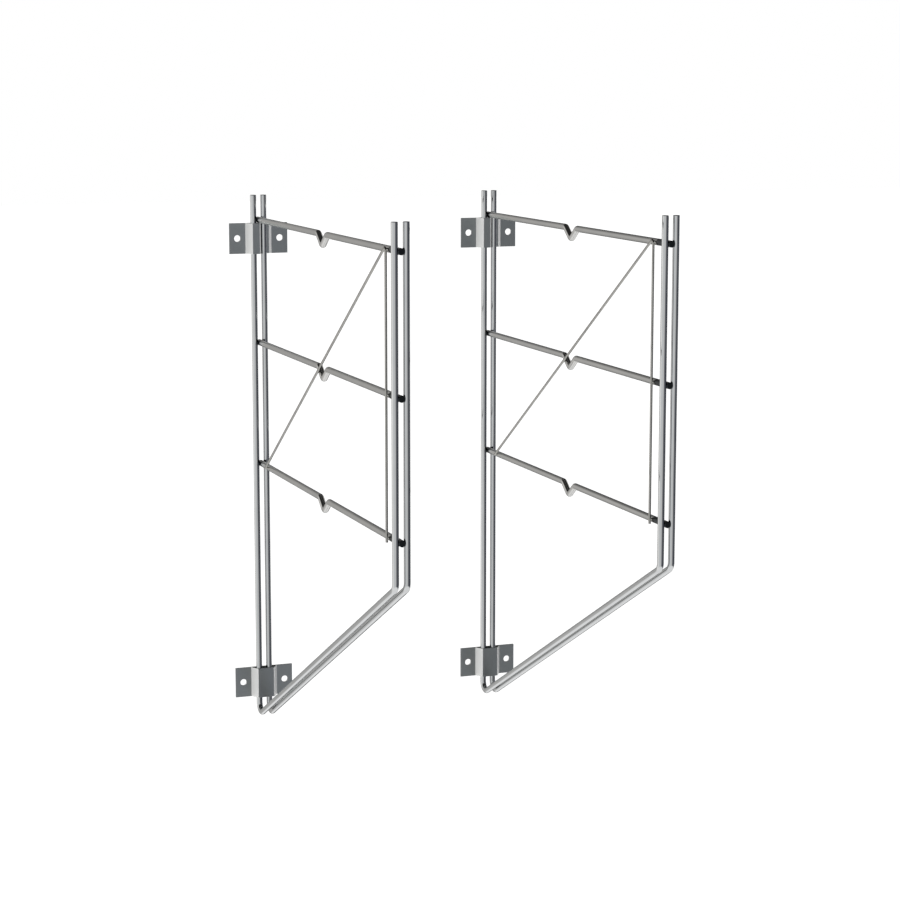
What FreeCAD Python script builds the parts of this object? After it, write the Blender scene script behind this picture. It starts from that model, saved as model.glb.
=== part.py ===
import FreeCAD, Part
import math
import os
import Sketcher

# Wall mounted drying rack side frames: a set of two equal welded rod frames, each held on the wall by
# an upper and a lower bent sheet clip, with a flat backing strip between each clip and the wall.
# Millimetres.  +Z is up, the wall is the plane Y = 0, the frames reach towards -Y, and +X is to the right
# of someone who faces the wall.  The origin lies in the wall plane, in the middle of the screw holes.

DIMENSIONS = {
    # round stock
    "rod_diameter": 6.35,
    "wire_diameter": 2.4,
    "end_bevel": 0.4,
    # one frame, seen from the side
    "frame_depth": 460.0,        # rear rod centre to front rod centre
    "rod_overhang": 26.0,        # rod tops above the top bar
    "level_pitch": 129.5,        # one bar to the next
    "front_corner_drop": 300.3,  # top bar down to where front leg and strut would meet
    "rear_corner_drop": 534.8,   # top bar down to where rear leg and strut would meet
    "rod_bend_radius": 9.0,
    "weld_bite": 0.85,           # how far a bar is pressed into each rod at its weld
    # the dip in the middle of each bar
    "notch_half_width": 14.5,
    "notch_depth": 11.0,
    "notch_bend_radius": 4.0,
    # the bent brace wire
    "brace_setback": 27.5,       # front rods to the wire's upright leg
    "brace_corner_rise": 3.6,
    "brace_end_setback": 31.0,   # rear rods to the lower end of the slanting leg
    "brace_tail": 4.0,           # below the lower bar
    "brace_bend_radius": 2.6,
    # the sheet clips
    "sheet": 1.0,
    "backing_thickness": 1.0,
    "clip_width": 63.0,
    "clip_height": 32.2,
    "clip_spacing": 479.0,       # upper clip centre to lower clip centre
    "clip_offset": 1.0,          # clip centre to the right of the frame's middle plane
    "hat_base_width": 28.0,
    "hat_top_width": 18.5,
    "bend_inner_radius": 0.5,
    "joggle_depth": 0.7,         # low panel of the upper clip stands off its backing
    "joggle_run": 3.0,
    "step_offset": 0.9,          # the upper clip's middle wall to the right of the frame's middle plane
    "running_gap": 0.3,
    "hole_diameter": 7.0,
    "hole_spacing": 46.0,
    # the set on the wall
    "frame_spacing": 259.0,
}

SHEET_NAME = "Dimensions"


class Size:
    """A number together with the spreadsheet formula that gives it."""

    def __init__(self, value, formula):
        self.value = value
        self.formula = formula

    def combined(self, other, sign, swapped=False):
        other = as_size(other)
        first, second = (other, self) if swapped else (self, other)
        results = {
            "+": lambda: first.value + second.value,
            "-": lambda: first.value - second.value,
            "*": lambda: first.value * second.value,
            "/": lambda: first.value / second.value,
        }
        return Size(results[sign](), f"({first.formula} {sign} {second.formula})")

    def __add__(self, other):
        return self.combined(other, "+")

    def __radd__(self, other):
        return self.combined(other, "+", swapped=True)

    def __sub__(self, other):
        return self.combined(other, "-")

    def __rsub__(self, other):
        return self.combined(other, "-", swapped=True)

    def __mul__(self, other):
        return self.combined(other, "*")

    def __rmul__(self, other):
        return self.combined(other, "*", swapped=True)

    def __truediv__(self, other):
        return self.combined(other, "/")

    def __neg__(self):
        return self.combined(-1, "*")


def as_size(number):
    if isinstance(number, Size):
        return number
    return Size(float(number), repr(float(number)))


def size_of(name):
    return Size(DIMENSIONS[name], f"{SHEET_NAME}.{name}")


def square_root(size):
    return Size(math.sqrt(size.value), f"sqrt({size.formula})")


def make_sheet(document):
    sheet = document.addObject("Spreadsheet::Sheet", SHEET_NAME)
    for row, (name, value) in enumerate(DIMENSIONS.items(), start=1):
        sheet.set(f"A{row}", name)
        sheet.set(f"B{row}", str(value))
        sheet.setAlias(f"B{row}", name)
    document.recompute()


# ---- sizes that several pieces share ----

ROD_RADIUS = size_of("rod_diameter") / 2
ROD_FROM_BACKING = size_of("joggle_depth") + size_of("sheet") + size_of("running_gap") + ROD_RADIUS
HAT_DEPTH = ROD_FROM_BACKING + ROD_RADIUS + size_of("running_gap") + size_of("sheet")
CLIP_Y = -size_of("backing_thickness")
PAIR_HALF_SPACING = size_of("rod_diameter") - size_of("weld_bite")
REAR_Y = CLIP_Y - ROD_FROM_BACKING
FRONT_Y = REAR_Y - size_of("frame_depth")
UPPER_CLIP_Z = size_of("clip_spacing") / 2
LOWER_CLIP_Z = -UPPER_CLIP_Z
TOP_BAR_Z = UPPER_CLIP_Z + size_of("clip_height") / 2 + size_of("running_gap") + ROD_RADIUS
BAR_LEVELS = {
    "top": TOP_BAR_Z,
    "middle": TOP_BAR_Z - size_of("level_pitch"),
    "lower": TOP_BAR_Z - size_of("level_pitch") * 2,
}


# ---- sketch helpers ----

def origin_plane(body, role):
    return next(feature for feature in body.Origin.OriginFeatures if feature.Role == role)


def new_sketch(body, name, role, offset=None):
    """A sketch on one of the body's own origin planes, raised along the plane's normal by offset."""
    sketch = body.newObject("Sketcher::SketchObject", name)
    sketch.AttachmentSupport = [(origin_plane(body, role), "")]
    sketch.MapMode = "FlatFace"
    if offset is not None:
        sketch.AttachmentOffset = FreeCAD.Placement(
            FreeCAD.Vector(0, 0, offset.value), FreeCAD.Rotation())
        sketch.setExpression("AttachmentOffset.Base.z", offset.formula)
    return sketch


def bind_constraint(sketch, constraint, size):
    """Add a dimension to the sketch and tie it to its spreadsheet formula."""
    index = sketch.addConstraint(constraint)
    name = f"size_{index}"
    sketch.renameConstraint(index, name)
    sketch.setExpression(f"Constraints.{name}", size.formula)


def place_point(sketch, geometry, end, point):
    for direction, size in zip(("DistanceX", "DistanceY"), point):
        bind_constraint(sketch, Sketcher.Constraint(direction, geometry, end, size.value), size)


def vector(point):
    return FreeCAD.Vector(point[0].value, point[1].value, 0)


def add_circle(sketch, centre, radius):
    circle = sketch.addGeometry(Part.Circle(vector(centre), FreeCAD.Vector(0, 0, 1), radius.value))
    place_point(sketch, circle, 3, centre)
    bind_constraint(sketch, Sketcher.Constraint("Radius", circle, radius.value), radius)


def add_outline(sketch, points):
    """A closed outline of straight lines through the points."""
    lines = []
    for start, end in zip(points, points[1:] + points[:1]):
        lines.append(sketch.addGeometry(Part.LineSegment(vector(start), vector(end))))
    for line, following in zip(lines, lines[1:] + lines[:1]):
        sketch.addConstraint(Sketcher.Constraint("Coincident", line, 2, following, 1))
    for line, start in zip(lines, points):
        place_point(sketch, line, 1, start)


def rounded_corner(before, corner, after, radius):
    """The arc that rounds a corner: where it starts, its middle point and where it ends."""
    to_before = (before - corner).normalize()
    to_after = (after - corner).normalize()
    half_angle = to_before.getAngle(to_after) / 2
    reach = radius / math.tan(half_angle)
    middle_line = (to_before + to_after).normalize()
    middle = corner + middle_line * (radius / math.sin(half_angle) - radius)
    return corner + to_before * reach, middle, corner + to_after * reach


def add_bent_path(sketch, corners, radius):
    """Straight runs between the corners, joined by tangent arcs of one bend radius."""
    points = [vector(corner) for corner in corners]
    arcs = [rounded_corner(*points[i - 1:i + 2], radius.value) for i in range(1, len(points) - 1)]
    starts = [points[0]] + [arc[2] for arc in arcs]
    ends = [arc[0] for arc in arcs] + [points[-1]]
    lines = [sketch.addGeometry(Part.LineSegment(start, end)) for start, end in zip(starts, ends)]
    place_point(sketch, lines[0], 1, corners[0])
    place_point(sketch, lines[-1], 2, corners[-1])
    for (start, middle, end), corner, line, following in zip(arcs, corners[1:], lines, lines[1:]):
        bend = sketch.addGeometry(Part.Arc(start, middle, end))
        arc_ends = (1, 2) if (sketch.getPoint(bend, 1) - start).Length < 1e-6 else (2, 1)
        sketch.addConstraint(Sketcher.Constraint("Tangent", line, 2, bend, arc_ends[0]))
        sketch.addConstraint(Sketcher.Constraint("Tangent", bend, arc_ends[1], following, 1))
        bind_constraint(sketch, Sketcher.Constraint("Radius", bend, radius.value), radius)
        corner_mark = sketch.addGeometry(Part.Point(vector(corner)))
        sketch.setConstruction(corner_mark, True)
        sketch.addConstraint(Sketcher.Constraint("PointOnObject", corner_mark, 1, line))
        sketch.addConstraint(Sketcher.Constraint("PointOnObject", corner_mark, 1, following))
        place_point(sketch, corner_mark, 1, corner)


# ---- solid features ----

def make_body(document, label):
    body = document.addObject("PartDesign::Body", label)
    body.Label = label
    return body


def pipe_along(body, path, profile):
    pipe = body.newObject("PartDesign::AdditivePipe", "BentStock")
    pipe.Profile = profile
    pipe.Spine = (path, [])
    body.Document.recompute()
    return pipe


def bevel_cut_ends(body, stock, radius):
    """Take the sharp rim off the two cut ends of a piece of round stock."""
    rims = []
    for number, edge in enumerate(stock.Shape.Edges, start=1):
        closed_circle = isinstance(edge.Curve, Part.Circle) and edge.isClosed()
        flat_end = any(isinstance(face.Surface, Part.Plane)
                       for face in stock.Shape.ancestorsOfType(edge, Part.Face))
        if closed_circle and flat_end and abs(edge.Curve.Radius - radius.value) < 1e-6:
            rims.append(f"Edge{number}")
    bevel = body.newObject("PartDesign::Chamfer", "EndBevels")
    bevel.Base = (stock, rims)
    bevel.Size = DIMENSIONS["end_bevel"]
    bevel.setExpression("Size", f"{SHEET_NAME}.end_bevel")
    body.Document.recompute()
    return bevel


def vertical_edges_at(shape, points):
    """Names of the upright edges that stand over the given points of the plan."""
    names = []
    for number, edge in enumerate(shape.Edges, start=1):
        first, last = edge.Vertexes[0].Point, edge.Vertexes[-1].Point
        upright = abs(first.z - last.z) > 1 and math.hypot(first.x - last.x, first.y - last.y) < 1e-6
        if upright and any(math.hypot(first.x - x.value, first.y - y.value) < 1e-4 for x, y in points):
            names.append(f"Edge{number}")
    return names


def round_folds(body, base, points, radius, name):
    rounding = body.newObject("PartDesign::Fillet", name)
    rounding.Base = (base, vertical_edges_at(base.Shape, points))
    rounding.Radius = radius.value
    rounding.setExpression("Radius", radius.formula)
    body.Document.recompute()
    return rounding


# ---- pieces of one frame ----

def place_body(body, x, z, y=as_size(0)):
    body.Placement = FreeCAD.Placement(FreeCAD.Vector(x.value, y.value, z.value), FreeCAD.Rotation())
    body.setExpression("Placement.Base.x", x.formula)
    body.setExpression("Placement.Base.y", y.formula)
    body.setExpression("Placement.Base.z", z.formula)


def make_side_rod(document, label, x):
    """Rear leg down the wall, tight bend, strut up to the front, front leg.  Z = 0 is the top bar."""
    body = make_body(document, label)
    rod_top = size_of("rod_overhang")
    path = new_sketch(body, "SideRodPath", "YZ_Plane")
    add_bent_path(path, [
        (REAR_Y, rod_top),
        (REAR_Y, -size_of("rear_corner_drop")),
        (FRONT_Y, -size_of("front_corner_drop")),
        (FRONT_Y, rod_top),
    ], size_of("rod_bend_radius"))
    section = new_sketch(body, "RodSection", "XY_Plane", offset=rod_top)
    add_circle(section, (as_size(0), REAR_Y), ROD_RADIUS)
    stock = pipe_along(body, path, section)
    bevel_cut_ends(body, stock, ROD_RADIUS)
    place_body(body, x, TOP_BAR_Z)


def make_notched_bar(document, label, x, z):
    """A straight bar with a V bent down in its middle.  Z = 0 is the bar's straight centre line."""
    body = make_body(document, label)
    rear_end = REAR_Y + ROD_RADIUS
    front_end = FRONT_Y - ROD_RADIUS
    notch_y = (REAR_Y + FRONT_Y) / 2
    level = as_size(0)
    path = new_sketch(body, "BarPath", "YZ_Plane")
    add_bent_path(path, [
        (rear_end, level),
        (notch_y + size_of("notch_half_width"), level),
        (notch_y, -size_of("notch_depth")),
        (notch_y - size_of("notch_half_width"), level),
        (front_end, level),
    ], size_of("notch_bend_radius"))
    section = new_sketch(body, "BarSection", "XZ_Plane", offset=-rear_end)
    add_circle(section, (as_size(0), level), ROD_RADIUS)
    stock = pipe_along(body, path, section)
    bevel = bevel_cut_ends(body, stock, ROD_RADIUS)
    seat_bar_in_rods(body, bevel)
    place_body(body, x, z)


def seat_bar_in_rods(body, bar):
    """Take the four shallow weld seats out of the bar, where it is pressed into the rods."""
    seats = new_sketch(body, "WeldSeats", "XY_Plane")
    for y in (REAR_Y, FRONT_Y):
        for x in (-PAIR_HALF_SPACING, PAIR_HALF_SPACING):
            add_circle(seats, (x, y), ROD_RADIUS)
    full_volume = bar.Shape.Volume
    cut = body.newObject("PartDesign::Pocket", "SeatCut")
    cut.Profile = seats
    cut.SideType = "Symmetric"
    cut.Length = DIMENSIONS["rod_diameter"] * 2
    cut.setExpression("Length", f"{SHEET_NAME}.rod_diameter * 2")
    body.Document.recompute()
    check_volume_removed(body, cut, full_volume)


def make_brace_wire(document, label, x):
    """One thin wire bent back on itself at the top bar, against the left side of the bars."""
    body = make_body(document, label)
    leg_y = FRONT_Y + size_of("brace_setback")
    lower_level = -size_of("level_pitch") * 2
    wire_radius = size_of("wire_diameter") / 2
    tail_z = lower_level - size_of("brace_tail")
    path = new_sketch(body, "BracePath", "YZ_Plane")
    add_bent_path(path, [
        (leg_y, tail_z),
        (leg_y, size_of("brace_corner_rise")),
        (REAR_Y - size_of("brace_end_setback"), lower_level),
    ], size_of("brace_bend_radius"))
    section = new_sketch(body, "WireSection", "XY_Plane", offset=tail_z)
    add_circle(section, (as_size(0), leg_y), wire_radius)
    pipe_along(body, path, section)
    place_body(body, x - ROD_RADIUS - wire_radius, TOP_BAR_Z)


# ---- the sheet clips ----

def mitre_shift(run, rise):
    """How far a fold line moves sideways from one face of the sheet to the other."""
    slope_length = square_root(run * run + rise * rise)
    return size_of("sheet") * (slope_length - run) / rise


def lower_clip_faces():
    """Front and back fold points of the plain hat that covers both rods, left to right.

    Y = 0 is the plane of the flanges' backs.
    """
    half_width = size_of("clip_width") / 2
    base = size_of("hat_base_width") / 2
    top = size_of("hat_top_width") / 2
    sheet = size_of("sheet")
    shift = mitre_shift(base - top, HAT_DEPTH - sheet)
    flange_back = as_size(0)
    front = [(-half_width, -sheet), (-base, -sheet), (-top, -HAT_DEPTH),
             (top, -HAT_DEPTH), (base, -sheet), (half_width, -sheet)]
    inner_depth = HAT_DEPTH - sheet
    back = [(-half_width, flange_back), (shift - base, flange_back), (shift - top, -inner_depth),
            (top - shift, -inner_depth), (base - shift, flange_back), (half_width, flange_back)]
    return front, back


def upper_clip_faces():
    """Fold points of the stepped hat: over the left rod, behind the right one, left to right.

    Y = 0 is the plane of the flanges' backs.
    """
    half_width = size_of("clip_width") / 2
    base = size_of("hat_base_width") / 2
    top = size_of("hat_top_width") / 2
    sheet = size_of("sheet")
    joggle = size_of("joggle_depth")
    joggle_x = base - size_of("joggle_run")
    step_x = size_of("step_offset") + sheet / 2 - size_of("clip_offset")
    shift = mitre_shift(base - top, HAT_DEPTH - sheet)
    joggle_shift = mitre_shift(size_of("joggle_run"), joggle)
    flange_back = as_size(0)
    front = [(-half_width, -sheet), (-base, -sheet), (-top, -HAT_DEPTH), (step_x, -HAT_DEPTH),
             (step_x, -joggle - sheet), (joggle_x, -joggle - sheet), (base, -sheet),
             (half_width, -sheet)]
    inner_depth = HAT_DEPTH - sheet
    back = [(-half_width, flange_back), (shift - base, flange_back), (shift - top, -inner_depth),
            (step_x - sheet, -inner_depth), (step_x - sheet, -joggle),
            (joggle_x - joggle_shift, -joggle), (base - joggle_shift, flange_back), (half_width, flange_back)]
    return front, back


def split_folds(front, back):
    """Sort the fold points into the hollow and the full side of each fold."""
    hollow, full = [], []
    for i in range(1, len(front) - 1):
        before, fold, after = (vector(front[j]) for j in (i - 1, i, i + 1))
        turns_outward = (fold - before).cross(after - fold).z < 0
        hollow.append(front[i] if turns_outward else back[i])
        full.append(back[i] if turns_outward else front[i])
    return hollow, full


def make_clip(document, label, faces, x, z):
    """A clip folded from one strip of sheet, with a screw hole in each flange.  Z = 0 is its middle."""
    front, back = faces
    body = make_body(document, label)
    strip = pad_strip(body, front + back[::-1])
    hollow, full = split_folds(front, back)
    inner_radius = size_of("bend_inner_radius")
    inner_folds = round_folds(body, strip, hollow, inner_radius, "InnerFolds")
    outer_folds = round_folds(body, inner_folds, full, inner_radius + size_of("sheet"), "OuterFolds")
    cut_screw_holes(body, outer_folds)
    place_body(body, x + size_of("clip_offset"), z, CLIP_Y)


def make_clip_backing(document, label, x, z):
    """The flat strip behind a clip, which keeps the rods off the wall.  Z = 0 is its middle."""
    body = make_body(document, label)
    right = size_of("clip_width") / 2
    wall = as_size(0)
    strip = pad_strip(body, [(-right, CLIP_Y), (right, CLIP_Y), (right, wall), (-right, wall)])
    cut_screw_holes(body, strip)
    place_body(body, x + size_of("clip_offset"), z)


def pad_strip(body, outline_points):
    """The outline, seen from above, raised to the height of a clip."""
    outline = new_sketch(body, "StripOutline", "XY_Plane")
    add_outline(outline, outline_points)
    pad = body.newObject("PartDesign::Pad", "Strip")
    pad.Profile = outline
    pad.SideType = "Symmetric"
    pad.Length = DIMENSIONS["clip_height"]
    pad.setExpression("Length", f"{SHEET_NAME}.clip_height")
    body.Document.recompute()
    return pad


def cut_screw_holes(body, strip):
    holes = new_sketch(body, "ScrewHoles", "XZ_Plane")
    for side in (-1, 1):
        add_circle(holes, (size_of("hole_spacing") * side / 2, as_size(0)), size_of("hole_diameter") / 2)
    full_volume = strip.Shape.Volume
    cut = body.newObject("PartDesign::Pocket", "HoleCut")
    cut.Profile = holes
    cut.SideType = "Symmetric"
    cut.Length = DIMENSIONS["sheet"] * 4
    cut.setExpression("Length", f"{SHEET_NAME}.sheet * 4")
    body.Document.recompute()
    check_volume_removed(body, cut, full_volume)


def check_volume_removed(body, cut, full_volume):
    if not cut.Shape.Volume < full_volume - 0.01:
        raise RuntimeError(f"{body.Label}: {cut.Name} removed nothing")


# ---- the set ----

def make_frame(document, name, x):
    for side, sign in (("left", -1), ("right", 1)):
        make_side_rod(document, f"{name}_{side}_rod", x + PAIR_HALF_SPACING * sign)
    for level, z in BAR_LEVELS.items():
        make_notched_bar(document, f"{name}_{level}_bar", x, z)
    make_brace_wire(document, f"{name}_brace_wire", x)
    make_clip(document, f"{name}_upper_clip", upper_clip_faces(), x, UPPER_CLIP_Z)
    make_clip(document, f"{name}_lower_clip", lower_clip_faces(), x, LOWER_CLIP_Z)
    for place, z in (("upper", UPPER_CLIP_Z), ("lower", LOWER_CLIP_Z)):
        make_clip_backing(document, f"{name}_{place}_clip_backing", x, z)


def check_document(document):
    """Stop if any feature failed or any piece is not one valid solid."""
    failed = [item.Label for item in document.Objects
              if "Invalid" in item.State or "Error" in item.State]
    if failed:
        raise RuntimeError(f"failed features: {failed}")
    for body in bodies_of(document):
        shape = body.Shape
        if shape.isNull() or not shape.isValid() or len(shape.Solids) != 1:
            raise RuntimeError(f"{body.Label} is not one valid solid")


def bodies_of(document):
    return [item for item in document.Objects if item.TypeId == "PartDesign::Body"]


def export_parts(document):
    os.makedirs("parts", exist_ok=True)
    for body in bodies_of(document):
        body.Shape.exportStep(f"parts/{body.Label}.step")
        box = body.Shape.BoundBox
        print(f"{body.Label:28s} volume {body.Shape.Volume:9.1f}  "
              f"x {box.XMin:8.2f} {box.XMax:8.2f}  y {box.YMin:8.2f} {box.YMax:6.2f}  "
              f"z {box.ZMin:8.2f} {box.ZMax:8.2f}")


def main():
    document = FreeCAD.newDocument("drying_rack_frames")
    make_sheet(document)
    half_spacing = size_of("frame_spacing") / 2
    make_frame(document, "left_frame", -half_spacing)
    make_frame(document, "right_frame", half_spacing)
    document.recompute()
    check_document(document)
    export_parts(document)


main()
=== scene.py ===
"""The looks of a pair of wall mounted drying rack frames.

Chrome plated rod, bar and wire hang on satin steel clips. Everything is in metres in the frame's own axes:
+X to the right when facing the wall, +Z up, and the wall at Y = 0.
"""
import math

import bpy
import bmesh
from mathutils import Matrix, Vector, noise


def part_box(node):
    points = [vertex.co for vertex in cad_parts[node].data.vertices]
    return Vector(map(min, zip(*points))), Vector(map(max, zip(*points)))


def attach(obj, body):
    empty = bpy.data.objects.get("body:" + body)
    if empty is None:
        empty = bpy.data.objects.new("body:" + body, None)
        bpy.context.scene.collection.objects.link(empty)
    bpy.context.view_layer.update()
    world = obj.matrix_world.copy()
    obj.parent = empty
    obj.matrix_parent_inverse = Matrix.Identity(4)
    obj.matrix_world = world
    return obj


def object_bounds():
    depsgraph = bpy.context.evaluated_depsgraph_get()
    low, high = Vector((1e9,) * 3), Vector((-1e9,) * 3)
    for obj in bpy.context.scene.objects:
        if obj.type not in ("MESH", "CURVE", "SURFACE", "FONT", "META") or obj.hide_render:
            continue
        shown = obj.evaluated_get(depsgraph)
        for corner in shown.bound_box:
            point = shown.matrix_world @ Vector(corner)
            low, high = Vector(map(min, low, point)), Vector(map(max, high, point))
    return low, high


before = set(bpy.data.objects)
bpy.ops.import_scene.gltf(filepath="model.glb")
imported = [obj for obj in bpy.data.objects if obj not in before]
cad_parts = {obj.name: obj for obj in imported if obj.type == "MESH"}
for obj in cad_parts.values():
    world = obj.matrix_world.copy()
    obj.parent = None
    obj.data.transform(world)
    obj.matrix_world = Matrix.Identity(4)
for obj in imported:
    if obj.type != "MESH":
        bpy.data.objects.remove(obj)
cad_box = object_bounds()

FRAME_NAMES = ("left_frame", "right_frame")
BAR_LEVELS = ("top", "middle", "lower")
ROD_SIDES = ("left", "right")
CLIP_PLACES = ("upper", "lower")

MM = 0.001
RIGHT = Vector((1, 0, 0))
OUTWARD = Vector((0, -1, 0))
UP = Vector((0, 0, 1))
WHITE = (1.0, 1.0, 1.0)


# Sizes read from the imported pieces


def box_middle(node):
    low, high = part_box(node)
    return (low + high) / 2


def half_width(node):
    """Half of a straight sided piece's width along X, which is the radius of its rod or wire."""
    low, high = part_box(node)
    return (high.x - low.x) / 2


ROD_RADIUS = half_width("left_frame_left_rod")
BAR_RADIUS = half_width("left_frame_top_bar")
WIRE_RADIUS = half_width("left_frame_brace_wire")


def rod_lines(node):
    """The Y of a rod's rear upright and of its front upright."""
    low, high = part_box(node)
    return high.y - ROD_RADIUS, low.y + ROD_RADIUS


def bar_level(node):
    """The Z of a bar's straight runs, which are above its notch."""
    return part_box(node)[1].z - BAR_RADIUS


# Node tree helpers


def add_node(tree, kind, **values):
    """A node with its properties or its inputs set by name."""
    node = tree.nodes.new(kind)
    for name, value in values.items():
        if hasattr(node, name):
            setattr(node, name, value)
        else:
            node.inputs[name].default_value = value
    return node


def map_range(tree, source, start, end, low=0.0, high=1.0):
    """Carries start to low and end to high, and stops there."""
    share = add_node(tree, "ShaderNodeMapRange")
    share.inputs["From Min"].default_value = start
    share.inputs["From Max"].default_value = end
    share.inputs["To Min"].default_value = low
    share.inputs["To Max"].default_value = high
    tree.links.new(source, share.inputs["Value"])
    return share.outputs["Result"]


def mix_colour(tree, share, first, second):
    """Goes from the first colour, which is linked, to the second, which is plain, as the share grows to 1."""
    mix = add_node(tree, "ShaderNodeMix", data_type="RGBA")
    tree.links.new(share, mix.inputs["Factor"])
    tree.links.new(first, mix.inputs["A"])
    mix.inputs["B"].default_value = (*second, 1.0)
    return mix.outputs["Result"]


def ramp_of(tree, source, stops):
    """A colour ramp over the source, with grey or RGB stops, each (position, value)."""
    ramp = add_node(tree, "ShaderNodeValToRGB")
    elements = ramp.color_ramp.elements
    while len(elements) > 1:
        elements.remove(elements[-1])
    for index, (position, value) in enumerate(stops):
        element = elements[0] if index == 0 else elements.new(position)
        element.position = position
        rgb = value if isinstance(value, tuple) else (value, value, value)
        element.color = (*rgb, 1.0)
    tree.links.new(source, ramp.inputs["Fac"])
    return ramp.outputs["Color"]


def noise_pattern(tree, stretch, scale, detail):
    """Noise in the piece's own coordinates; a small stretch number draws the grain out along that axis."""
    coordinates = add_node(tree, "ShaderNodeTexCoord")
    mapping = add_node(tree, "ShaderNodeMapping", Scale=stretch)
    pattern = add_node(tree, "ShaderNodeTexNoise", Scale=scale, Detail=detail)
    tree.links.new(coordinates.outputs["Object"], mapping.inputs["Vector"])
    tree.links.new(mapping.outputs["Vector"], pattern.inputs["Vector"])
    return pattern.outputs["Fac"]


def facing(tree, axis, start, end):
    """From 0 to 1 as the surface turns to face either way along the axis; start and end are cosines."""
    coordinates = add_node(tree, "ShaderNodeTexCoord")
    cosine = add_node(tree, "ShaderNodeVectorMath", operation="DOT_PRODUCT")
    cosine.inputs[1].default_value = axis
    tree.links.new(coordinates.outputs["Normal"], cosine.inputs[0])
    either_way = add_node(tree, "ShaderNodeMath", operation="ABSOLUTE")
    tree.links.new(cosine.outputs["Value"], either_way.inputs[0])
    return map_range(tree, either_way.outputs["Value"], start, end)


# Materials


EVEN = (1.0, 1.0, 1.0)             # noise that isn't drawn out along any axis
PATCH_SCALE = 45.0                 # noise scales are in patches per metre, roughly
DRAW_LINE_SCALE = 900.0
CLOUD_SCALE = 60.0
SHEET_GRAIN_SCALE = 2600.0
RIPPLE_SCALE = 1400.0

# Painted shade: the near-black for the bars' ends, near and between the rods, stands for the shade there.
BAR_END_PAINTED_SHADE = (0.045, 0.05, 0.055)
SHEARED_GREY = (0.22, 0.225, 0.23)
SHEET_DULL = (0.60, 0.632, 0.62)
SHEET_PALE = (0.62, 0.652, 0.64)
# Painted light: the pale colour on the walls of the hat stands for the light they catch from the sides.
WALL_PAINTED_LIGHT = (0.90, 0.90, 0.89)
PAINTED_LIGHT_METALLIC = 0.1             # the share of metal that is left where the walls have painted light

REAR_PAINTED_SHADE = 8 * MM                # how far the painted shade reaches along a bar from the rear rods' lines and from the front rods' lines
FRONT_PAINTED_SHADE = 23 * MM              # and from the front rods' lines
PAINTED_SHADE_FADE = 3 * MM
SOFT_EDGE = 0.2 * MM               # the radius of the sheet's rounded edges


def start_metal(name):
    """A new metal material; returns it with its node tree and its shader."""
    material = bpy.data.materials.new(name)
    material.use_nodes = True
    tree = material.node_tree
    shader = tree.nodes["Principled BSDF"]
    shader.inputs["Metallic"].default_value = 1.0
    return material, tree, shader


def add_bump(tree, shader, height, distance, strength):
    bump = add_node(tree, "ShaderNodeBump", Distance=distance, Strength=strength)
    tree.links.new(height, bump.inputs["Height"])
    tree.links.new(bump.outputs["Normal"], shader.inputs["Normal"])
    return bump


def make_chrome(name, grain, pale, dull, smooth, rough, darkening=None, dark=None):
    """Chrome plate over drawn stock: clear and slightly duller patches, with fine lines along the grain.

    darkening makes the share of the surface, from 0 to 1, that has the dark colour.
    """
    material, tree, shader = start_metal(name)
    patches = noise_pattern(tree, EVEN, PATCH_SCALE, detail=3.0)
    draw_lines = noise_pattern(tree, grain, DRAW_LINE_SCALE, detail=4.0)
    colour = ramp_of(tree, patches, [(0.32, dull), (0.62, pale)])
    if darkening:
        colour = mix_colour(tree, darkening(tree), colour, dark)
    haze = ramp_of(tree, draw_lines, [(0.35, smooth), (0.8, rough)])
    tree.links.new(colour, shader.inputs["Base Color"])
    tree.links.new(haze, shader.inputs["Roughness"])
    add_bump(tree, shader, draw_lines, distance=0.002 * MM, strength=0.3)
    return material


def sheared_end(tree):
    """The flat ends at the tops of the rods."""
    return facing(tree, UP, 0.95, 0.99)


# Painted shade on the bars: a mask over their ends, near and between the rods.
def painted_shade_at_bar_ends(tree):
    """Painted shade at the ends of a bar: close to the rods at the rear, and as far as the brace wire at the
    front.
    """
    rear_y, front_y = rod_lines("left_frame_left_rod")
    coordinates = add_node(tree, "ShaderNodeTexCoord")
    parts = add_node(tree, "ShaderNodeSeparateXYZ")
    tree.links.new(coordinates.outputs["Object"], parts.inputs["Vector"])
    along = parts.outputs["Y"]
    rear = map_range(tree, along, rear_y - REAR_PAINTED_SHADE - PAINTED_SHADE_FADE, rear_y - REAR_PAINTED_SHADE)
    front = map_range(tree, along, front_y + FRONT_PAINTED_SHADE + PAINTED_SHADE_FADE, front_y + FRONT_PAINTED_SHADE)
    either = add_node(tree, "ShaderNodeMath", operation="MAXIMUM")
    tree.links.new(rear, either.inputs[0])
    tree.links.new(front, either.inputs[1])
    return either.outputs["Value"]


def make_rod_chrome():
    """Bright plate on the rods, with dark sheared ends."""
    return make_chrome(
        "rod_plate", grain=(1.0, 0.04, 0.04),
        pale=(0.63, 0.64, 0.645), dull=(0.60, 0.61, 0.615), smooth=0.02, rough=0.035,
        darkening=sheared_end, dark=SHEARED_GREY,
    )


def make_bar_chrome():
    """Slightly warmer plate on the bars, with painted shade at their ends."""
    return make_chrome(
        "bar_plate", grain=(1.0, 0.03, 1.0),
        pale=(0.64, 0.635, 0.62), dull=(0.60, 0.60, 0.59), smooth=0.02, rough=0.05,
        # painted shade at the ends of the bars
        darkening=painted_shade_at_bar_ends, dark=BAR_END_PAINTED_SHADE,
    )


def make_wire_chrome():
    """Darker and warmer plate on the brace wire."""
    return make_chrome(
        "wire_plate", grain=(1.0, 0.05, 0.05),
        pale=(0.40, 0.395, 0.37), dull=(0.34, 0.335, 0.32), smooth=0.03, rough=0.08,
    )


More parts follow.
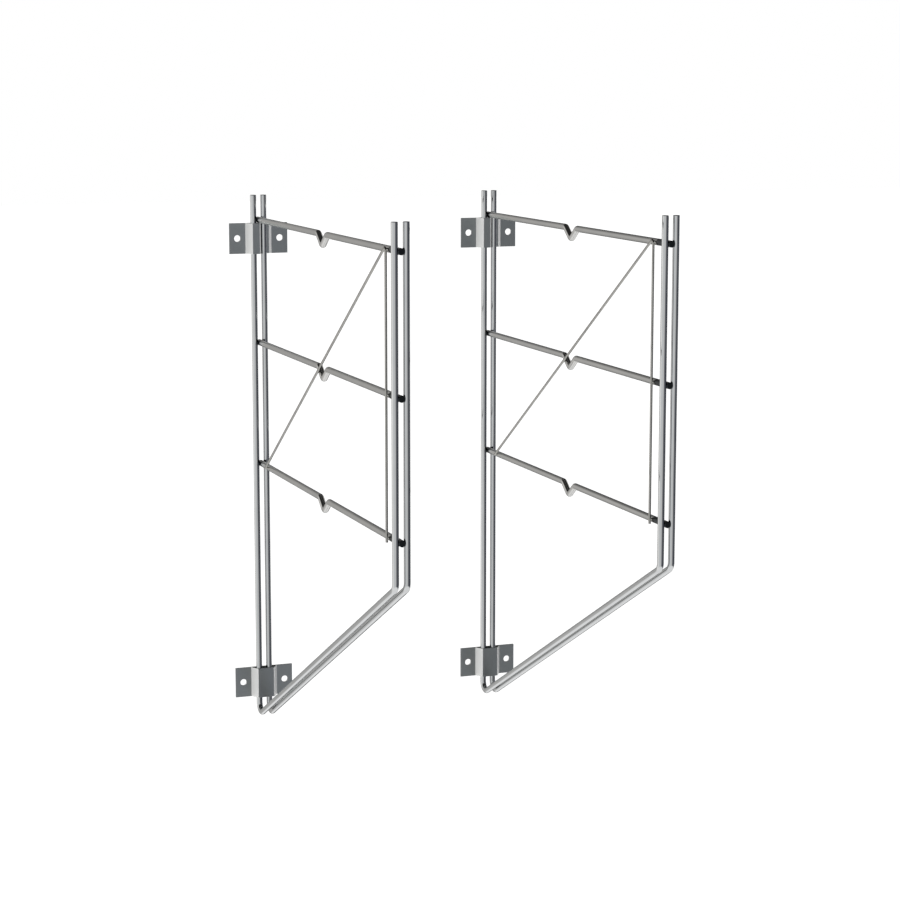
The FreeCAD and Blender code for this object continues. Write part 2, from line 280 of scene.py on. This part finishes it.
def make_clip_steel():
    """Satin plated sheet with a fine grain, a faint cloud of tone and softly rounded, dark sheared edges.

    Where the sheet faces sideways, down the walls of the hat and round the bends, it has painted light: a
    pale, matt colour that stands for the light those walls catch from the sides.
    """
    material, tree, shader = start_metal("satin_plated_sheet")
    clouds = noise_pattern(tree, EVEN, CLOUD_SCALE, detail=4.0)
    grain = noise_pattern(tree, (1.0, 1.0, 0.3), SHEET_GRAIN_SCALE, detail=3.0)
    # Painted light on the sideways facing walls of the hat, picked out by the direction of the surface.
    painted_light_walls = facing(tree, RIGHT, 0.08, 0.2)
    sheared = facing(tree, RIGHT, 0.94, 0.98)
    colour = ramp_of(tree, clouds, [(0.3, SHEET_DULL), (0.7, SHEET_PALE)])
    colour = mix_colour(tree, painted_light_walls, colour, WALL_PAINTED_LIGHT)
    colour = mix_colour(tree, sheared, colour, SHEARED_GREY)
    haze = ramp_of(tree, grain, [(0.25, 0.30), (0.8, 0.35)])
    metallic = map_range(tree, painted_light_walls, 0.0, 1.0, low=1.0, high=PAINTED_LIGHT_METALLIC)
    tree.links.new(colour, shader.inputs["Base Color"])
    tree.links.new(haze, shader.inputs["Roughness"])
    tree.links.new(metallic, shader.inputs["Metallic"])
    bump = add_bump(tree, shader, grain, distance=0.005 * MM, strength=0.25)
    soft_edges = add_node(tree, "ShaderNodeBevel", Radius=SOFT_EDGE)
    tree.links.new(soft_edges.outputs["Normal"], bump.inputs["Normal"])
    return material


def make_weld_metal(name, dark, pale):
    """Plate over a resistance weld: rippled, and duller than the drawn stock."""
    material, tree, shader = start_metal(name)
    ripples = noise_pattern(tree, EVEN, RIPPLE_SCALE, detail=2.0)
    colour = ramp_of(tree, ripples, [(0.3, dark), (0.7, pale)])
    haze = ramp_of(tree, ripples, [(0.3, 0.10), (0.7, 0.25)])
    tree.links.new(colour, shader.inputs["Base Color"])
    tree.links.new(haze, shader.inputs["Roughness"])
    add_bump(tree, shader, ripples, distance=0.08 * MM, strength=0.6)
    return material


def dress(node_name, material):
    """Puts a better material in every slot of a CAD node."""
    for material_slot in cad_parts[node_name].material_slots:
        material_slot.material = material


def dress_all():
    rod_chrome = make_rod_chrome()
    bar_chrome = make_bar_chrome()
    wire_chrome = make_wire_chrome()
    clip_steel = make_clip_steel()
    for name in FRAME_NAMES:
        for side in ROD_SIDES:
            dress(f"{name}_{side}_rod", rod_chrome)
        for level in BAR_LEVELS:
            dress(f"{name}_{level}_bar", bar_chrome)
        dress(f"{name}_brace_wire", wire_chrome)
        for place in CLIP_PLACES:
            dress(f"{name}_{place}_clip", clip_steel)
            dress(f"{name}_{place}_clip_backing", clip_steel)


# Weld collars: the ring of squeezed metal where two round pieces are welded across each other


COLLAR_STEPS = 28                  # points round a collar
COLLAR_ROWS = 8                    # rows from one piece to the other
COLLAR_SINK = 0.12 * MM            # a collar starts this far inside the metal
COLLAR_WAIST = 0.12                # how much narrower a collar is half way, as a share of its reach
COLLAR_LUMPS = 0.08                # how uneven its outline is, as a share of its reach
LUMP_SPREAD = 1.6                  # the radius of the circle that the outline is read from in the noise
LUMP_PLACE = Vector((3.1, 7.7, 1.3))
ROD_COLLAR_REACH = 2.3 * MM        # from the crossing point to the collar's outline
WIRE_COLLAR_REACH = 1.1 * MM


def surface_height(radius, across, offset):
    """How high a round piece's surface stands over its axis, at an offset from the crossing point."""
    sideways = offset.dot(across)
    return math.sqrt(max(radius * radius - sideways * sideways, 0.0))


def collar_mesh(builder, centre, normal, first, second, apart, reach):
    """Adds one collar to a bmesh.

    first and second are each (axis, radius). centre is on the first piece's axis, and normal points from
    there to the second piece's axis, which lies apart from it.
    """
    axis_a, radius_a = first
    axis_b, radius_b = second
    across_a = normal.cross(axis_a)
    across_b = normal.cross(axis_b)
    rows = []
    for row in range(COLLAR_ROWS + 1):
        share = row / COLLAR_ROWS
        waist = 1.0 - COLLAR_WAIST * math.sin(math.pi * share)
        ring = []
        for step in range(COLLAR_STEPS):
            angle = 2 * math.pi * step / COLLAR_STEPS
            direction = axis_a * math.cos(angle) + across_a * math.sin(angle)
            place = (centre / MM + direction * LUMP_SPREAD) + LUMP_PLACE
            lump = 1.0 + COLLAR_LUMPS * noise.noise(place)
            offset = direction * (reach * waist * lump)
            low = surface_height(radius_a, across_a, offset) - COLLAR_SINK
            high = apart - surface_height(radius_b, across_b, offset) + COLLAR_SINK
            ring.append(builder.verts.new(centre + offset + normal * (low + (high - low) * share)))
        rows.append(ring)
    for lower, upper in zip(rows, rows[1:]):
        for step in range(COLLAR_STEPS):
            following = (step + 1) % COLLAR_STEPS
            builder.faces.new((lower[step], lower[following], upper[following], upper[step]))
    close_with_fan(builder, rows[0], centre + normal * (radius_a / 2), reverse=True)
    close_with_fan(builder, rows[-1], centre + normal * (apart - radius_b / 2), reverse=False)


def close_with_fan(builder, ring, point, reverse):
    """Closes one end of a collar with triangles that meet inside the round piece."""
    hub = builder.verts.new(point)
    for step, corner in enumerate(ring):
        following = ring[(step + 1) % len(ring)]
        corners = (following, corner, hub) if reverse else (corner, following, hub)
        builder.faces.new(corners)


def add_collars(name, body, material, collars):
    """One piece that holds several collars and rides on the body."""
    builder = bmesh.new()
    for collar in collars:
        collar_mesh(builder, *collar)
    bmesh.ops.recalc_face_normals(builder, faces=builder.faces)
    mesh = bpy.data.meshes.new(name)
    builder.to_mesh(mesh)
    builder.free()
    mesh.shade_smooth()
    mesh.materials.append(material)
    piece = bpy.data.objects.new(name, mesh)
    bpy.context.scene.collection.objects.link(piece)
    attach(piece, body)


def bar_collars(name, level):
    """The four collars that join one bar to the rods, two at the rear and two at the front."""
    bar = f"{name}_{level}_bar"
    middle_x = box_middle(bar).x
    bar_line = (OUTWARD, BAR_RADIUS)
    rod_line = (UP, ROD_RADIUS)
    collars = []
    for side, normal in (("left", -RIGHT), ("right", RIGHT)):
        rod = f"{name}_{side}_rod"
        apart = abs(box_middle(rod).x - middle_x)
        for y in rod_lines(rod):
            centre = Vector((middle_x, y, bar_level(bar)))
            collars.append((centre, normal, bar_line, rod_line, apart, ROD_COLLAR_REACH))
    return collars


def wire_collars(name):
    """The brace wire's collars: its upright leg on every bar, and the end of its slanting leg."""
    wire = f"{name}_brace_wire"
    low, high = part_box(wire)
    middle_x = box_middle(f"{name}_top_bar").x
    apart = middle_x - box_middle(wire).x
    upright_y = low.y + WIRE_RADIUS
    slant = Vector((0, high.y - low.y, low.z - high.z)).normalized()
    crossings = [(upright_y, level, UP) for level in BAR_LEVELS]
    crossings.append((high.y - WIRE_RADIUS, "lower", slant))
    bar_line = (OUTWARD, BAR_RADIUS)
    collars = []
    for y, level, axis in crossings:
        centre = Vector((middle_x, y, bar_level(f"{name}_{level}_bar")))
        wire_line = (axis, WIRE_RADIUS)
        collars.append((centre, -RIGHT, bar_line, wire_line, apart, WIRE_COLLAR_REACH))
    return collars


def add_welds():
    # Painted shade: the near-black colours of the collars between the bars and the rods stand for the shade
    # there.
    shaded_weld = make_weld_metal("weld_in_painted_shade", (0.03, 0.03, 0.035), (0.14, 0.14, 0.15))
    bright = make_weld_metal("bright_weld", (0.60, 0.59, 0.56), (0.90, 0.89, 0.86))
    for name in FRAME_NAMES:
        for level in BAR_LEVELS:
            add_collars(f"{name}_{level}_bar_welds", name, shaded_weld, bar_collars(name, level))
        add_collars(f"{name}_brace_wire_welds", name, bright, wire_collars(name))


# Stage, light and camera


FLOOR_DROP = 1.2                   # the rack hangs this far above the floor
FLOOR_SIZE = 60.0
FLOOR_GREY = (0.9, 0.9, 0.9)

# The studio seen from the rack, by azimuth in degrees: 0 is straight out from the wall, -90 is to the left
# and 90 to the right.  Pale screens stand all along the left.  The room in front and to the right is dark.
# A pale strip stands on the right, just past the wall's plane, and the light from behind is grey.
PALE = (1.0, 0.99, 0.97)
COOL = (0.97, 1.0, 1.02)
NAVY = (0.85, 0.90, 1.2)
STUDIO_BAND = (
    (-90.0, 0.76, PALE),
    (-56.0, 0.84, COOL),
    (-42.0, 0.74, COOL),
    (-23.0, 0.70, PALE),
    (-8.0, 0.86, PALE),
    (-1.0, 0.60, PALE),
    (6.0, 0.20, NAVY),
    (20.0, 0.19, COOL),
    (32.0, 0.20, COOL),
    (50.0, 0.09, NAVY),
    (77.0, 0.02, NAVY),
    (90.0, 0.05, NAVY),
    (100.0, 0.80, COOL),
    (115.0, 1.00, PALE),
    (134.0, 0.80, PALE),
    (146.0, 0.06, COOL),
    (160.0, 0.10, COOL),
    (172.0, 0.24, PALE),
    (-176.0, 0.38, PALE),
    (-160.0, 0.50, PALE),
    (-152.0, 0.60, PALE),
    (-139.0, 0.72, PALE),
    (-120.0, 1.10, PALE),
    (-104.0, 1.30, PALE),
)
OVERHEAD = 0.03                    # the grey of the ceiling, and the heights where the band turns into it
OVERHEAD_FADE = (0.28, 0.60)
UNDERFOOT = 1.0                    # the grey of the ground, and the heights where the band turns into it
UNDERFOOT_FADE = (-0.58, -0.70)


def ramp_position(azimuth):
    """Where an azimuth lies on a radial gradient, which runs from 0 to 1 round the Z axis from the left."""
    return (azimuth / 360 + 0.25) % 1.0


def blend_in(tree, height, fade, colour, level):
    """Turns colour into a plain grey level as the direction's height goes through the fade."""
    return mix_colour(tree, map_range(tree, height, *fade), colour, (level, level, level))


def add_world():
    """The studio band with its ceiling and ground, which the pieces reflect; the camera itself sees white."""
    world = bpy.data.worlds.new("studio")
    bpy.context.scene.world = world
    world.use_nodes = True
    tree = world.node_tree
    coordinates = add_node(tree, "ShaderNodeTexCoord")
    around = add_node(tree, "ShaderNodeTexGradient", gradient_type="RADIAL")
    tree.links.new(coordinates.outputs["Generated"], around.inputs["Vector"])
    stops = sorted(
        (ramp_position(azimuth), tuple(level * part for part in tint))
        for azimuth, level, tint in STUDIO_BAND
    )
    stops.append((1.0, stops[0][1]))
    band = ramp_of(tree, around.outputs["Fac"], stops)
    parts = add_node(tree, "ShaderNodeSeparateXYZ")
    tree.links.new(coordinates.outputs["Generated"], parts.inputs["Vector"])
    height = parts.outputs["Z"]
    shade = blend_in(tree, height, OVERHEAD_FADE, band, OVERHEAD)
    shade = blend_in(tree, height, UNDERFOOT_FADE, shade, UNDERFOOT)
    seen = add_node(tree, "ShaderNodeLightPath")
    shown = mix_colour(tree, seen.outputs["Is Camera Ray"], shade, WHITE)
    tree.links.new(shown, tree.nodes["Background"].inputs["Color"])


def add_floor():
    material = bpy.data.materials.new("pale_floor")
    material.use_nodes = True
    shader = material.node_tree.nodes["Principled BSDF"]
    shader.inputs["Base Color"].default_value = (*FLOOR_GREY, 1.0)
    shader.inputs["Roughness"].default_value = 1.0
    shader.inputs["Emission Color"].default_value = (*WHITE, 1.0)
    shader.inputs["Emission Strength"].default_value = 1.0
    half = FLOOR_SIZE / 2
    level = cad_box[0].z - FLOOR_DROP
    mesh = bpy.data.meshes.new("floor")
    corners = [(-half, -half, level), (half, -half, level), (half, half, level), (-half, half, level)]
    mesh.from_pydata(corners, [], [(0, 1, 2, 3)])
    mesh.materials.append(material)
    floor = bpy.data.objects.new("floor", mesh)
    floor.visible_glossy = False
    bpy.context.scene.collection.objects.link(floor)


LENS = 95.555                      # mm
SENSOR_WIDTH = 36.0                # mm
CAMERA_AZIMUTH = -20.06            # degrees; the camera stands to the left of straight ahead
CAMERA_ELEVATION = 9.175
CAMERA_DISTANCE = 2.3731
AIM_ABOVE_MIDDLE = 35.8 * MM


def add_camera():
    azimuth = math.radians(CAMERA_AZIMUTH)
    elevation = math.radians(CAMERA_ELEVATION)
    back = Vector((
        math.sin(azimuth) * math.cos(elevation),
        -math.cos(azimuth) * math.cos(elevation),
        math.sin(elevation),
    ))
    low, high = cad_box
    aim = (low + high) / 2 + Vector((0, 0, AIM_ABOVE_MIDDLE))
    data = bpy.data.cameras.new("camera")
    data.sensor_width = SENSOR_WIDTH
    data.lens = LENS
    camera = bpy.data.objects.new("camera", data)
    camera.location = aim + back * CAMERA_DISTANCE
    camera.rotation_mode = "QUATERNION"
    camera.rotation_quaternion = (-back).to_track_quat("-Z", "Y")
    bpy.context.scene.collection.objects.link(camera)
    bpy.context.scene.camera = camera


dress_all()
add_welds()
add_world()
add_floor()
add_camera()
bpy.context.scene.view_settings.view_transform = "Standard"
